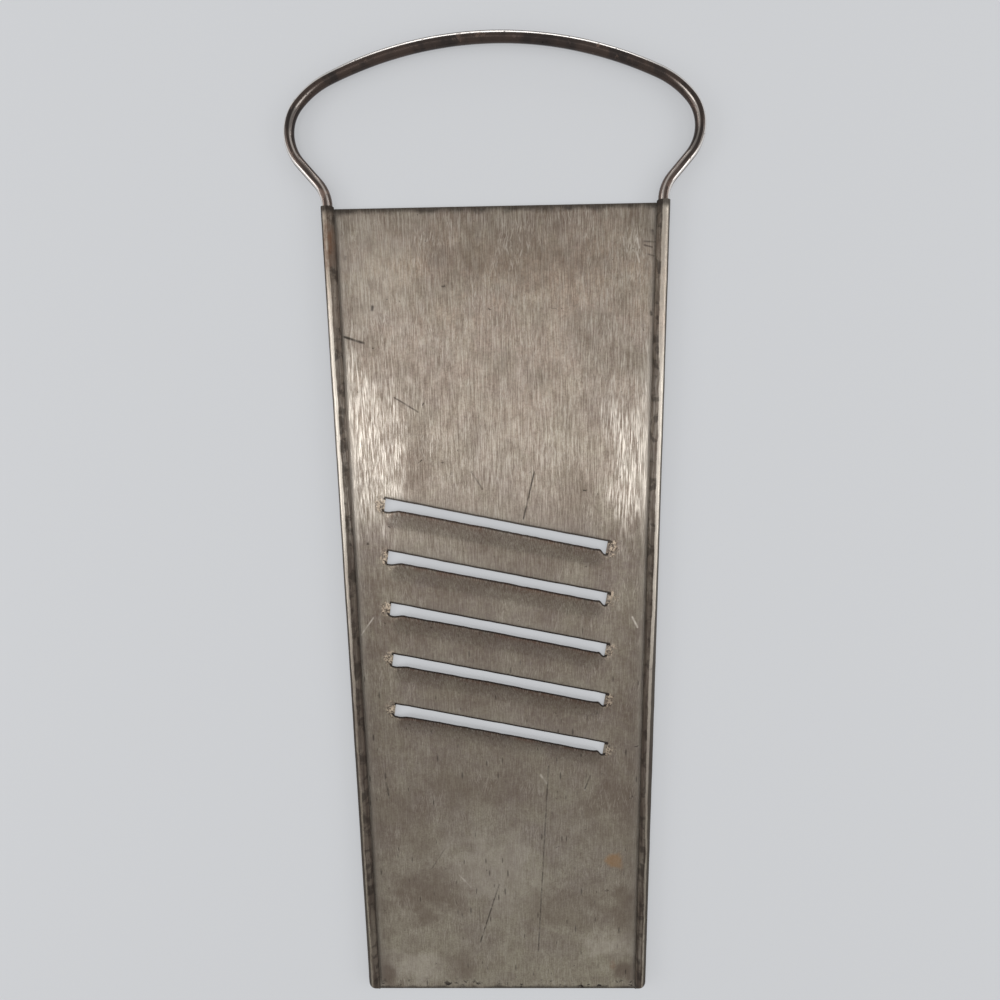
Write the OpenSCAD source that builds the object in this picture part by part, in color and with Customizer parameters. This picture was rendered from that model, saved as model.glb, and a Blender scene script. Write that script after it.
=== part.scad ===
// Slaw and cabbage cutter with a bow handle, in millimetres.
// One tinned sheet carries a row of slanted knives pressed out of it. Its long edges are
// rolled round the two legs of one bent wire, and the rest of that wire is the handle.
// The cutter lies on its back: X across, Y along the sheet towards the bow, Z up out of the
// cutting side. Lengths along Y are counted from the foot of the sheet, and laid_down() centres them.

/* [Sheet] */
// Width over the two rolled edges
plate_w = 114; // [100:1:140]
// Length from the bottom fold to the top fold
plate_len = 306; // [270:1:360]
// Thickness of the tinned sheet
sheet_t = 0.35; // [0.3:0.05:0.6]

/* [Rolled edges] */
// Radial room between the wire and the roll round it
roll_clear = 0.05; // [0.02:0.01:0.2]
// Gap between the raw end of a roll and the face of the sheet
roll_gap = 0.3; // [0.1:0.05:0.6]
// Corner radius at the foot of each rolled edge
roll_corner_r = 3; // [1:0.25:3.5]
// Slope at which the foot of each rolled edge is dressed back, from square
roll_foot_slope = 50; // [20:1:60]

/* [Hems] */
// Width of the flap folded to the back along the top and the bottom
hem_w = 6; // [3:0.5:12]
// Room inside a fold
hem_gap = 0.2; // [0.1:0.05:0.5]
// Distance from the end of a hem to the start of a rolled edge
hem_inset = 1.5; // [0.5:0.25:6]

/* [Knives] */
// Number of knives
knife_count = 5; // [1:1:6]
// Length of each slot
knife_len = 81.5; // [60:0.5:86]
// Slant of the knives, left end up
knife_slant = 11.9; // [0:0.1:15]
// Distance from knife to knife along the sheet
knife_pitch = 20; // [18:0.5:24]
// Distance from the foot of the sheet to the lowest cutting edge, at its middle
knife_low_y = 118; // [60:1:140]
// Sideways place of the row's middle
knife_x = -1; // [-3:0.5:3]
// Clear width of a slot
slot_gap = 2.7; // [1.5:0.1:4]
// Height of the lip's front face over the sheet, carried up to the cutting edge
lip_rise = 2; // [1.2:0.1:3]
// Length of the slope from the sheet up to the cutting edge
lip_run = 6; // [5:0.25:8]
// Width of the ground bevel
bevel_w = 1.6; // [0.8:0.1:2.5]
// Thickness left at the cutting edge
edge_t = 0.1; // [0.05:0.01:0.2]
// Radius that rounds off the two corners of a lip
lip_corner_r = 2; // [1:0.1:2.5]
// Width of the nick beside each rounded corner
nick_w = 0.6; // [0.3:0.1:1.2]

/* [Handle] */
// Diameter of the wire
wire_d = 3.5; // [3:0.1:5]
// How far the shoulders of the bow stand out past the rolled edges
bow_overhang = 10.6; // [7:0.1:16]
// Reach of the bow past the top of the sheet
bow_rise = 50.5; // [44:0.1:64]
// Distance that the legs stay straight past the top of the sheet
leg_stub = 0.6; // [0:0.1:3]
// How far the legs stop short of the dressed foot of the rolled edges
leg_end_inset = 1; // [0.5:0.25:20]
// How much thinner the wire is drawn in its foot, shoulder and crown bends
bend_thin = 0.02; // [0.01:0.01:0.1]
// Bend radius where a leg flares out
foot_r = 10; // [7:0.5:12]
// Angle of the flare, from the line of the leg
flare = 41; // [35:1:45]
// Bend radius of the shoulder
shoulder_r = 13; // [11:0.5:14]
// Sweep of the haunch below the point where shoulder and crown would meet
haunch_before = 18; // [8:1:24]
// Sweep of the haunch above that point
haunch_after = 6; // [3:1:10]

/* [Hidden] */
$fn = 64;
tin_colour = "#a29b8e";
wire_colour = "#5d534a";

// Fold: half a ring of sheet round the room inside it
fold_ri = hem_gap / 2;
fold_ro = fold_ri + sheet_t;

// Height: the flaps of the hems lie on Z = 0, and the face of the sheet is one fold above them
face_z = 2 * fold_ro;

// Roll: the wire's radius, the roll's two radii, and the centre line of wire and roll
wire_r = wire_d / 2;
bend_rod_r = wire_r - bend_thin;
roll_ri = wire_r + roll_clear;
roll_ro = roll_ri + sheet_t;
leg_x = plate_w / 2 - roll_ro;
wire_z = face_z + roll_ri;
roll_end_angle = 180 + asin((roll_ri - roll_gap) / roll_ro);
section_reach = 3 * roll_ro;
leg_end_y = (roll_ri + wire_r) * tan(roll_foot_slope) + roll_corner_r + leg_end_inset;
hem_span = 2 * (leg_x - hem_inset);

// Knife: each end of a lip is a quarter of a cone round a pivot on the line of the edge
lip_pivot = knife_len / 2 - lip_run;
bevel_rise = lip_rise * (1 - bevel_w / lip_run);
edge_back = lip_rise - sheet_t;
edge_front = edge_back + edge_t;
cut_depth = 4 * (lip_rise + sheet_t);

// Bow: a bend out of each leg, a straight flare, then shoulder, haunch and crown, all tangent.
// Its lengths along Y are counted from the top of the sheet, on the centre line of the wire.
shoulder_x = plate_w / 2 + bow_overhang - wire_r - shoulder_r;
crown_y = bow_rise - wire_r;
foot_end = [leg_x + foot_r * (1 - cos(flare)), leg_stub + foot_r * sin(flare)];
flare_len = (shoulder_x + shoulder_r * cos(flare) - foot_end[0]) / sin(flare);
flare_end = foot_end + flare_len * [sin(flare), cos(flare)];
shoulder_y = flare_end[1] + shoulder_r * sin(flare);

// Each full stretch of wire laps over the start of a thinner bend, and this far the bend lies inside it
bend_lap = sqrt(2 * bend_thin * min(foot_r, shoulder_r)) / 2;

// With no haunch, a crown of this radius would meet the shoulder at this angle
bare_crown_r = (pow(shoulder_x, 2) + pow(crown_y - shoulder_y, 2) - pow(shoulder_r, 2))
    / (2 * (crown_y - shoulder_y - shoulder_r));
meet_angle = acos(shoulder_x / (bare_crown_r - shoulder_r));

// The haunch takes the place of both arcs near that point. Its radius and the crown's follow
// from the bow's reach and from the crown's centre lying on the middle line.
haunch_from = meet_angle - haunch_before;
haunch_to = meet_angle + haunch_after;
haunch_start = [shoulder_x, shoulder_y] + shoulder_r * [cos(haunch_from), sin(haunch_from)];
crown_lift = (1 - sin(haunch_to)) / cos(haunch_to);
haunch_r = (crown_y - haunch_start[1] - haunch_start[0] * crown_lift)
    / (sin(haunch_to) - sin(haunch_from) - (cos(haunch_from) - cos(haunch_to)) * crown_lift);
haunch_centre = haunch_start - haunch_r * [cos(haunch_from), sin(haunch_from)];
crown_r = haunch_r + haunch_centre[0] / cos(haunch_to);
haunch_lap = asin(bend_lap / haunch_r);

// Moves the foot of the sheet back by half the length, so that Y = 0 halves the cutter
module laid_down() {
    translate([0, -(plate_len + bow_rise) / 2, 0])
        children();
}

// Carries a section, drawn as Y and Z, a given way along X
module along_x(length) {
    rotate([90, 0, 90])
        linear_extrude(length)
            children();
}

// Section across one rolled edge, its centre on the wire, for the right-hand side
module roll_section() {
    difference() {
        circle(r = roll_ro);
        circle(r = roll_ri);
        polygon([
            [0, 0],
            [0, -section_reach],
            section_reach * [cos(roll_end_angle), sin(roll_end_angle)]
        ]);
    }
}

// What the rounded corner at the foot of the right-hand rolled edge takes off, along the slope
module roll_corner_cut() {
    translate([plate_w / 2 - roll_corner_r, 0, face_z])
        rotate([-roll_foot_slope, 0, 0])
            linear_extrude(4 * section_reach, center = true)
                difference() {
                    translate([0, -roll_corner_r])
                        square(2 * roll_corner_r);
                    translate([0, roll_corner_r])
                        circle(r = roll_corner_r);
                    translate([-roll_corner_r, roll_corner_r])
                        square(2 * roll_corner_r);
                }
}

// What dressing the foot back to a slope takes off: nothing at the sheet, most at the front
module roll_foot_cut() {
    translate([leg_x - section_reach, 0, face_z])
        along_x(2 * section_reach)
            polygon([
                [0, 0],
                [section_reach * tan(roll_foot_slope), section_reach],
                [0, section_reach]
            ]);
}

module rolled_edge() {
    difference() {
        translate([leg_x, plate_len, wire_z])
            rotate([90, 0, 0])
                linear_extrude(plate_len)
                    roll_section();
        roll_corner_cut();
        roll_foot_cut();
    }
}

// The fold and flap along the top, drawn about the fold's axis
module hem() {
    translate([-hem_span / 2, plate_len - fold_ro, fold_ro])
        along_x(hem_span) {
            difference() {
                circle(r = fold_ro);
                circle(r = fold_ri);
                translate([-4 * fold_ro, -2 * fold_ro])
                    square(4 * fold_ro);
            }
            translate([-hem_w, -fold_ro])
                square([hem_w, sheet_t]);
        }
}

// Places a knife: X along the edge, Y across the slot, Z up from the face of the sheet
module at_knife(i) {
    translate([knife_x, knife_low_y + i * knife_pitch, face_z])
        rotate([0, 0, -knife_slant])
            children();
}

// Section down a lip: its distance below the edge and its height over the face of the sheet
function lip_section() = [
    [lip_run, 0],
    [bevel_w, bevel_rise],
    [0, edge_front],
    [0, edge_back],
    [lip_run, -sheet_t]
];

// A quarter of a cone that lets the lip down to the sheet at one end of a slot
module lip_end(pivot, from_angle) {
    translate([pivot, 0, 0])
        rotate([0, 0, from_angle])
            rotate_extrude(angle = 90)
                polygon(lip_section());
}

module lip() {
    translate([-lip_pivot, 0, 0])
        along_x(2 * lip_pivot)
            polygon([for (p = lip_section()) [-p[0], p[1]]]);
    lip_end(lip_pivot, -90);
    lip_end(-lip_pivot, 180);
}

// The patch of flat sheet that a lip is raised from
module lip_patch() {
    linear_extrude(cut_depth, center = true) {
        translate([-lip_pivot, -lip_run])
            square([2 * lip_pivot, lip_run]);
        for (side = [-1, 1])
            translate([side * lip_pivot, 0])
                intersection() {
                    circle(r = lip_run);
                    translate([side > 0 ? 0 : -lip_run, -lip_run])
                        square(lip_run);
                }
    }
}

// The nick at the right-hand end of a slot, which rounds off the corner of its lip
module nick() {
    translate([knife_len / 2 - nick_w - lip_corner_r, -lip_corner_r])
        difference() {
            square([nick_w + lip_corner_r, lip_corner_r]);
            circle(r = lip_corner_r);
        }
}

// The opening of one slot, right through the sheet
module slot() {
    linear_extrude(cut_depth, center = true) {
        translate([-knife_len / 2, 0])
            square([knife_len, slot_gap]);
        nick();
        mirror([1, 0])
            nick();
    }
}

// The tinned sheet: flat face, knives, hems and rolled edges, all of one piece
module cutter_plate() {
    color(tin_colour)
        laid_down() {
            difference() {
                union() {
                    difference() {
                        translate([-leg_x, fold_ro, face_z - sheet_t])
                            cube([2 * leg_x, plate_len - 2 * fold_ro, sheet_t]);
                        for (i = [0 : knife_count - 1])
                            at_knife(i)
                                lip_patch();
                    }
                    for (i = [0 : knife_count - 1])
                        at_knife(i)
                            lip();
                }
                for (i = [0 : knife_count - 1])
                    at_knife(i)
                        slot();
            }
            hem();
            translate([0, plate_len, 0])
                mirror([0, 1, 0])
                    hem();
            rolled_edge();
            mirror([1, 0, 0])
                rolled_edge();
        }
}

// A bent stretch of wire, counted from the top of the sheet: angles from +X towards +Y
module bend(centre, r, from_angle, to_angle, rod_r) {
    translate([centre[0], plate_len + centre[1], wire_z])
        rotate([0, 0, from_angle])
            rotate_extrude(angle = to_angle - from_angle)
                translate([r, 0])
                    circle(r = rod_r);
}

// The right-hand half of the wire, up to the start of the crown
module wire_side() {
    translate([leg_x, leg_end_y, wire_z])
        rotate([-90, 0, 0])
            cylinder(r = wire_r, h = plate_len + leg_stub + bend_lap - leg_end_y);
    bend([leg_x + foot_r, leg_stub], foot_r, 180 - flare, 180, bend_rod_r);
    translate([foot_end[0], plate_len + foot_end[1], wire_z])
        rotate([-90, 0, -flare])
            translate([0, 0, -bend_lap])
                cylinder(r = wire_r, h = flare_len + 2 * bend_lap);
    bend([shoulder_x, shoulder_y], shoulder_r, -flare, haunch_from, bend_rod_r);
    bend(haunch_centre, haunch_r, haunch_from - haunch_lap, haunch_to + haunch_lap, wire_r);
}

// One wire: two legs inside the rolled edges and the bow between them
module handle_wire() {
    color(wire_colour)
        laid_down() {
            wire_side();
            mirror([1, 0, 0])
                wire_side();
            bend([0, crown_y - crown_r], crown_r, haunch_to, 180 - haunch_to, bend_rod_r);
        }
}

cutter_plate();
handle_wire();
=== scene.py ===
# %% [markdown]
# # A tinned cabbage cutter
# This kitchen tool is two pieces of metal. One tinned sheet has five slanted knives pressed out
# of it, and one bent wire runs down inside its rolled edges and makes the bow handle on top.
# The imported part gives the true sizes. Here each piece is made again as a surface worked out
# with numpy, with the small dents, waves and worn edges that a plain solid leaves out.

# %% Frame and measures
import math

import bpy
import numpy as np
from mathutils import Matrix, Vector


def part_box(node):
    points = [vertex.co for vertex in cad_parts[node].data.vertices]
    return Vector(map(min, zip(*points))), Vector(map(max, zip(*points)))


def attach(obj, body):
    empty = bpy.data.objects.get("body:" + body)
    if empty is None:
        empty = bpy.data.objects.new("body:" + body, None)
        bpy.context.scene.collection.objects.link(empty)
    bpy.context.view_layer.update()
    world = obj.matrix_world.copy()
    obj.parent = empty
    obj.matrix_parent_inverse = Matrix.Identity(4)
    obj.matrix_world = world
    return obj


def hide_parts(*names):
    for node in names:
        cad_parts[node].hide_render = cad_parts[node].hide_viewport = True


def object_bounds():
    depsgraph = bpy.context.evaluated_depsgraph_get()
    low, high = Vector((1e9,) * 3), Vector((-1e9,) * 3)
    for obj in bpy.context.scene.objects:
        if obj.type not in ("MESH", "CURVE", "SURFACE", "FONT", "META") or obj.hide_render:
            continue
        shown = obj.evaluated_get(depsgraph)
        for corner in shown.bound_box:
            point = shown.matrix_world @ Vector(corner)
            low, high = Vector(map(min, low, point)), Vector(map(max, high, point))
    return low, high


MM = 0.001
TINY = 1e-6
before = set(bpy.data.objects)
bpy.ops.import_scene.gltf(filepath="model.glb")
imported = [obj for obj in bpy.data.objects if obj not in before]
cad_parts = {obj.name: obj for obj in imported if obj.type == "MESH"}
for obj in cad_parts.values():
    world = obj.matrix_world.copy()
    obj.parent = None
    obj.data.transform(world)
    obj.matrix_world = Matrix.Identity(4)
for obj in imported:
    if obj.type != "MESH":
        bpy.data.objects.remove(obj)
cad_low, cad_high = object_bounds()
plate_low, plate_high = [np.array(corner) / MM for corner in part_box("cutter_plate")]
wire_low, wire_high = [np.array(corner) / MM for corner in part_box("handle_wire")]

# Sheet and roll, in millimetres. Lengths along the sheet are counted from its foot.
SHEET_T = 0.35
FOOT_Y = plate_low[1]
PLATE_W = plate_high[0] - plate_low[0]
PLATE_LEN = plate_high[1] - plate_low[1]
PLATE_TOP_Z = plate_high[2]
WIRE_R = (wire_high[2] - wire_low[2]) / 2
WIRE_Z = (wire_high[2] + wire_low[2]) / 2
ROLL_RO = PLATE_TOP_Z - WIRE_Z
ROLL_RI = ROLL_RO - SHEET_T
LEG_X = PLATE_W / 2 - ROLL_RO
FACE_Z = WIRE_Z - ROLL_RI
print("sheet", PLATE_W, "by", PLATE_LEN, "mm; its face lies", FACE_Z, "mm up; wire radius", WIRE_R)


# %% [markdown]
# ## Small tools for uneven shapes
# Old tinware is never quite straight. A smooth ramp blends one shape into another, and a
# wandering line adds slow, repeatable unevenness. The line takes seeded random heights at even
# steps and joins them by smooth ramps, so it comes out the same in every run. A crumpled face does
# the same in two directions, and stations are the places at which a grid is cut.

# %% Ramps, wandering lines and stations
LINE_HEIGHTS = 512
FACE_HEIGHTS = 128
LINE_START, FACE_START = 100, 500


def ramp(t):
    """Rises from 0 to 1 as t goes from 0 to 1, level at both ends: 3t^2 - 2t^3."""
    t = np.clip(t, 0, 1)
    return t * t * (3 - 2 * t)


def wander(places, step, seed):
    """A line that wanders between -1 and 1: random heights every step, joined by smooth ramps."""
    heights = np.random.default_rng(seed).uniform(-1, 1, LINE_HEIGHTS)
    spot = np.asarray(places, float) / step + LINE_START
    low = np.floor(spot).astype(int)
    share = ramp(spot - low)
    return heights[low % LINE_HEIGHTS] * (1 - share) + heights[(low + 1) % LINE_HEIGHTS] * share


def layered(places, layers):
    """Wandering lines added up, each with its height, step and seed."""
    return sum(high * wander(places, step, seed) for high, step, seed in layers)


def crumple(x, y, step, seed):
    """The same in two directions: random heights on a square net, joined by ramps both ways."""
    heights = np.random.default_rng(seed).uniform(-1, 1, (FACE_HEIGHTS, FACE_HEIGHTS))
    across, along = np.asarray(x, float) / step + FACE_START, np.asarray(y, float) / step + FACE_START
    i, j = np.floor(across).astype(int), np.floor(along).astype(int)
    a, b = ramp(across - i), ramp(along - j)
    left, right = i % FACE_HEIGHTS, (i + 1) % FACE_HEIGHTS
    low, high = j % FACE_HEIGHTS, (j + 1) % FACE_HEIGHTS
    near = heights[left, low] * (1 - a) + heights[right, low] * a
    far = heights[left, high] * (1 - a) + heights[right, high] * a
    return near * (1 - b) + far * b


def stations(breaks, steps):
    """Places from the first break to the last, evenly spaced in each stretch by about its step."""
    parts = [np.linspace(a, b, max(1, round((b - a) / step)) + 1)[:-1]
             for a, b, step in zip(breaks[:-1], breaks[1:], steps)]
    return np.append(np.concatenate(parts), breaks[-1])


print("a wandering line:", wander(np.arange(4), 2.5, 1).round(2))

# %% [markdown]
# ## The grid of the sheet
# The sheet, its rolls and its folds are one piece of tin, so they are one grid of points. The
# columns go from the raw end of the left roll, across the flat, to the raw end of the right roll.
# The rows go from the flap behind the foot, round the fold, up the sheet, and round to the flap
# behind the top. A plain square grid would cut the slanted slots into steps, so the rows lean
# with the knives in the middle of the sheet and level out again towards its ends.

# %% Columns and rows
KNIFE_COUNT = 5
KNIFE_LEN = 81.5
HALF_KNIFE = KNIFE_LEN / 2
KNIFE_SLANT = math.radians(11.9)
SLANT_COS, SLANT_SIN = math.cos(KNIFE_SLANT), math.sin(KNIFE_SLANT)
KNIFE_PITCH = 20.0
KNIFE_LOW_Y = 118.0
KNIFE_X = -1.0
SLOT_GAP = 2.7
LIP_SPAN = 8.0
BEVEL_W = 1.6
ABOVE_SLOT = 3.0
HEM_INSET = 1.5
HEM_W = 6.0
PAST_SLOT, INTO_SLOT = 4, 7
END_SPAN, END_STEP = 8, 0.9
ROW_STEP, KNIVES_TO_ROWS = 2.4, 1.5
RAW_END_GAP = 0.3
ROLL_SWEEP = math.radians(270) + math.asin((ROLL_RI - RAW_END_GAP) / ROLL_RO)

slot_half = HALF_KNIFE * SLANT_COS
left_end, right_end = KNIFE_X - slot_half, KNIFE_X + slot_half
hem_x = LEG_X - HEM_INSET
fold_r = FACE_Z / 2
knife_step = KNIFE_PITCH * SLANT_COS

flat_breaks = [-LEG_X, -hem_x, left_end - PAST_SLOT, left_end, left_end + INTO_SLOT,
               right_end - INTO_SLOT, right_end, right_end + PAST_SLOT, hem_x, LEG_X]
flat_x = stations(flat_breaks, [0.75, 1.3, 0.4, 0.4, 1.7, 0.4, 0.4, 1.3, 0.75])
turns = stations([0, ROLL_SWEEP], [math.radians(12)])[1:]
column_x = np.concatenate([np.full(len(turns), -LEG_X), flat_x, np.full(len(turns), LEG_X)])
column_turn = np.concatenate([turns[::-1], np.zeros(len(flat_x)), turns])
column_side = np.where(column_x < 0, -1.0, 1.0)

across_knife = stations(
    [-LIP_SPAN, -BEVEL_W, 0, SLOT_GAP, SLOT_GAP + ABOVE_SLOT, knife_step - LIP_SPAN],
    [0.8, 0.4, 0.54, 0.75, 1.5])[:-1]
knife_rows = KNIFE_LOW_Y + np.concatenate(
    [across_knife + i * knife_step for i in range(KNIFE_COUNT)]) / SLANT_COS
top_y, low_y = PLATE_LEN - fold_r, fold_r
row_y = np.concatenate([
    stations([low_y, END_SPAN, knife_rows[0]], [END_STEP, ROW_STEP])[:-1],
    knife_rows,
    stations([knife_rows[-1] + KNIVES_TO_ROWS, PLATE_LEN - END_SPAN, top_y], [ROW_STEP, END_STEP])])
fold_turn = stations([0, math.pi], [math.pi / 8])[1:]
flap_y = stations([0, HEM_W], [1.5])[1:]
hem_rows = len(fold_turn) + len(flap_y)
print(len(column_x), "columns;", len(row_y), "rows on the sheet and", hem_rows, "in each hem")

# %% [markdown]
# ## The knives
# Each knife is a lip: the sheet below a slot is pressed forward until its edge stands a couple of
# millimetres proud, and then ground thin. The lip is a height over the flat, a power of the
# distance up its slope, and at both ends it comes down round a quarter of a cone. The slot's own
# edges bow a little, its ends are torn lower, and the metal beside them is puckered by the press.
# The press was set by hand for each knife, so each one is nudged a little off the even pitch.

# %% Heights and edges of a knife
KNIFE_NUDGE = np.array([-0.3, 0.0, 0.1, -0.05, -0.65])
LIP_RISE = 2.0
LIP_END = 6.0
LIP_CURVE = 1.5
EDGE_T = 0.1
END_DIP, DIP_INSET = 1.7, 0.4
LEFT_DIP_SPAN, RIGHT_DIP_SPAN = 5.2, 2.6
LOWER_BOW, UPPER_BOW = 0.2, 0.15
SHIFT_FADE = 3
NUDGE_FADE_LOW, NUDGE_FADE_HIGH = 3, 5
PUCKER_OUT = 1.6
PUCKER_UP = 0.9
PUCKER_WIDE = 1.9
PUCKER_TALL = 2.2
PUCKER_HIGH = 0.38
PUCKER_BASE = 0.3

# Unevenness of the slots' edges: height, shift from knife to knife, step and seed.
LOWER_NOTCHES = [(0.07, 37, 1.1, 5), (0.08, 91, 6, 6)]
UPPER_NOTCHES = [(0.06, 53, 3, 7)]

# Ripples of the puckers: height, shift from knife to knife and from end to end, step and seed.
RIPPLES = [(0.8, 40, 17, 1.5, 8), (0.5, 70, 29, 0.75, 9)]


def end_share(u):
    """1 along the straight of a knife, falling to 0 over the cone at both ends of its slot."""
    return np.clip((HALF_KNIFE - np.abs(u)) / LIP_END, 0, 1)


def lip_height(u, v):
    """Height of a lip over the flat: its rise times a power of 1 - r / span, with r round its ends."""
    past_end = np.clip(np.abs(u) - (HALF_KNIFE - LIP_END), 0, None) / LIP_END
    reach = np.hypot(LIP_SPAN * past_end ** 2, v)
    inside = (v <= TINY) & (np.abs(u) < HALF_KNIFE)
    return np.where(inside, LIP_RISE * np.clip(1 - reach / LIP_SPAN, 0, 1) ** LIP_CURVE, 0)


def notches(u, knife, layers):
    """Wandering lines along a slot's edge, added up, and different for each knife."""
    return sum(high * wander(u + apart * knife, step, seed) for high, apart, step, seed in layers)


def edge_shift(u, v, knife):
    """How far a row moves across the slot: down at the torn ends, bowed and notched on both edges."""
    along = np.clip(np.abs(u) / HALF_KNIFE, 0, 1)
    fade = np.clip(1 - (np.abs(u) - HALF_KNIFE) / SHIFT_FADE, 0, 1)
    dip_span = np.where(u < 0, LEFT_DIP_SPAN, RIGHT_DIP_SPAN)
    torn = END_DIP * ramp((np.abs(u) - (HALF_KNIFE - DIP_INSET - dip_span)) / dip_span)
    lower = -fade * (torn + LOWER_BOW * along ** 2 + notches(u, knife, LOWER_NOTCHES))
    upper = fade * (UPPER_BOW * along ** 2 + notches(u, knife, UPPER_NOTCHES))
    below = np.where((v >= -LIP_SPAN) & (v <= 0), 1 + v / LIP_SPAN, 0)
    in_slot = np.where((v > 0) & (v < SLOT_GAP), 1 - v / SLOT_GAP, 0)
    above = np.where((v >= SLOT_GAP) & (v < SLOT_GAP + ABOVE_SLOT),
                     1 - (v - SLOT_GAP) / ABOVE_SLOT, 0)
    from_above = above + np.where(in_slot > 0, 1 - in_slot, 0)
    held = ramp((v + LIP_SPAN) / NUDGE_FADE_LOW) * ramp((knife_step - LIP_SPAN - v) / NUDGE_FADE_HIGH)
    return lower * (below + in_slot) + upper * from_above + KNIFE_NUDGE[knife.astype(int)] * held


def pucker(u, v, knife):
    """Crumpled metal just outside both ends of a slot: short ripples under a bell-shaped cover."""
    out = np.abs(u) - HALF_KNIFE - PUCKER_OUT
    cover = np.exp(-(out / PUCKER_WIDE) ** 2 - ((v - PUCKER_UP) / PUCKER_TALL) ** 2)
    ripples = PUCKER_BASE
    for high, apart, turned, step, seed in RIPPLES:
        ripples = ripples + high * crumple(u + apart * knife, v + turned * np.sign(u), step, seed)
    return PUCKER_HIGH * cover * ripples


slope = np.linspace(-LIP_SPAN, 0, 5)
print("a lip is", lip_height(np.zeros(5), slope).round(2), "mm high up its slope")

# %% [markdown]
# ## The sheet as two faces
# A surface with thickness is two grids, front and back, that share one rule. On the flat the back
# lies one sheet below the front. Round a roll both follow circles about the wire, and the front
# face is the inner circle. Round a fold both follow circles about the fold, and there the front
# face is the outer one. So one function of row, column and depth gives every point.

# %% Points of the sheet
FOOT_SLOPE = math.radians(50)
ROLL_CORNER = 3.0
ROLL_FOOT_SPAN = 15.0
SLOT_BURR, BURR_REACH = 0.3, 0.9
BURR_INSET, BURR_FADE, BURR_PAST = 1, 4, 1
WAVE_HIGH, WAVE_HOLD = 0.16, 14
LEAN_SPARE, INWARD_SPAN, SWAY_SHARE = 10, 8, 0.66
SIDES_APART = 400
HEM_SLACK, SLACK_STEP, SLACK_SEED = 0.04, 11, 31
RAW_FROM, RAW_SPAN = 0.55, 0.45

# Unevenness of the rolls and of their raw ends: height, step and seed, then how far it is set in.
ROLL_DENTS, DENTS_IN = [(0.045, 9, 21), (0.03, 3, 22)], 0.03
DENT_LIMITS = (-0.04, 0.08)
RAW_WAVES, RAW_IN = [(0.09, 7, 23), (0.05, 2.2, 24)], 0.06

rows, columns = row_y[:, None], column_x[None, :]
v_all = (rows - KNIFE_LOW_Y) * SLANT_COS
row_knife = np.clip(np.floor((v_all + LIP_SPAN) / knife_step), 0, KNIFE_COUNT - 1)
row_v = v_all - row_knife * knife_step
lean = ramp((rows - low_y) / (knife_rows[0] - LEAN_SPARE))
lean = lean * ramp((top_y - rows) / (top_y - knife_rows[-1] - LEAN_SPARE))
inward = ramp((LEG_X - np.abs(columns)) / INWARD_SPAN)
sway = knife_step / (2 * math.pi) * np.sin(2 * math.pi * (row_v - SLOT_GAP / 2) / knife_step)
grid_x = columns + SWAY_SHARE * SLANT_SIN * sway * lean * inward
grid_y = rows - lean * math.tan(KNIFE_SLANT) * (columns - KNIFE_X)
knife_u = (grid_x - KNIFE_X - row_v * SLANT_SIN) / SLANT_COS
shift = edge_shift(knife_u, row_v, row_knife) * inward
grid_x = grid_x + shift * SLANT_SIN
grid_y = grid_y + shift * SLANT_COS


def waves(x, y):
    """Slow waves of a hand-worked sheet: three crossed sines, dying away at the rolls and the folds."""
    held = ramp((LEG_X - np.abs(x)) / WAVE_HOLD)
    held = held * ramp(y / WAVE_HOLD) * ramp((PLATE_LEN - y) / WAVE_HOLD)
    swell = np.sin(x / 17 + 0.8) * np.sin(y / 29 + 0.3)
    cross = 0.6 * np.sin(x / 9 - y / 41 + 2) + 0.4 * np.sin(x / 31 + y / 13 + 1)
    return WAVE_HIGH * held * (swell + cross) / 2


def sheet_points(depth):
    """Points of the sheet at a depth below its front face, for all rows and columns."""
    share = depth / SHEET_T
    lip = lip_height(knife_u, row_v)
    ground = ramp((row_v + BEVEL_W) / BEVEL_W) * (row_v <= TINY) * end_share(knife_u) ** 0.5
    bevel = (SHEET_T - EDGE_T) * ground * (np.abs(knife_u) < HALF_KNIFE) * (1 - share)
    past_slot = row_v - SLOT_GAP
    burr = SLOT_BURR * np.exp(-np.clip(past_slot, 0, None) / BURR_REACH) * (past_slot >= -TINY)
    burr = burr * ramp((HALF_KNIFE - BURR_INSET - np.abs(knife_u)) / BURR_FADE)
    burr = burr * (past_slot < ABOVE_SLOT + BURR_PAST)
    raised = lip - bevel - burr + pucker(knife_u, row_v, row_knife) * inward + waves(grid_x, grid_y)
    flat = np.stack([grid_x, grid_y, FACE_Z + raised - depth], axis=-1)

    place_y = grid_y + SIDES_APART * column_side
    uneven = np.clip(layered(place_y, ROLL_DENTS) - DENTS_IN, *DENT_LIMITS)
    raw_end = ramp((column_turn / ROLL_SWEEP - RAW_FROM) / RAW_SPAN)
    radius = ROLL_RI + depth + uneven * ramp(column_turn / 2)
    opened = raw_end * (layered(place_y, RAW_WAVES) - RAW_IN)
    turn = column_turn + opened - math.pi / 2
    roll_x = column_side * (LEG_X + radius * np.cos(turn))
    roll_z = WIRE_Z + radius * np.sin(turn)
    sloped = np.clip(roll_z - FACE_Z, 0, None) * math.tan(FOOT_SLOPE)
    past = np.clip(np.abs(roll_x) - (PLATE_W / 2 - ROLL_CORNER), 0, ROLL_CORNER)
    rounded = ROLL_CORNER - np.sqrt(ROLL_CORNER ** 2 - past ** 2)
    start = sloped + rounded / math.cos(FOOT_SLOPE) - fold_r
    roll_y = grid_y + start * np.clip(1 - (rows - low_y) / ROLL_FOOT_SPAN, 0, 1)
    roll_y = roll_y + fold_r * np.clip(1 - (top_y - rows) / ROLL_FOOT_SPAN, 0, 1)
    roll = np.stack([roll_x, roll_y, roll_z], axis=-1)
    return np.where((np.abs(columns) >= LEG_X - TINY)[..., None], roll, flat)


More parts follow.
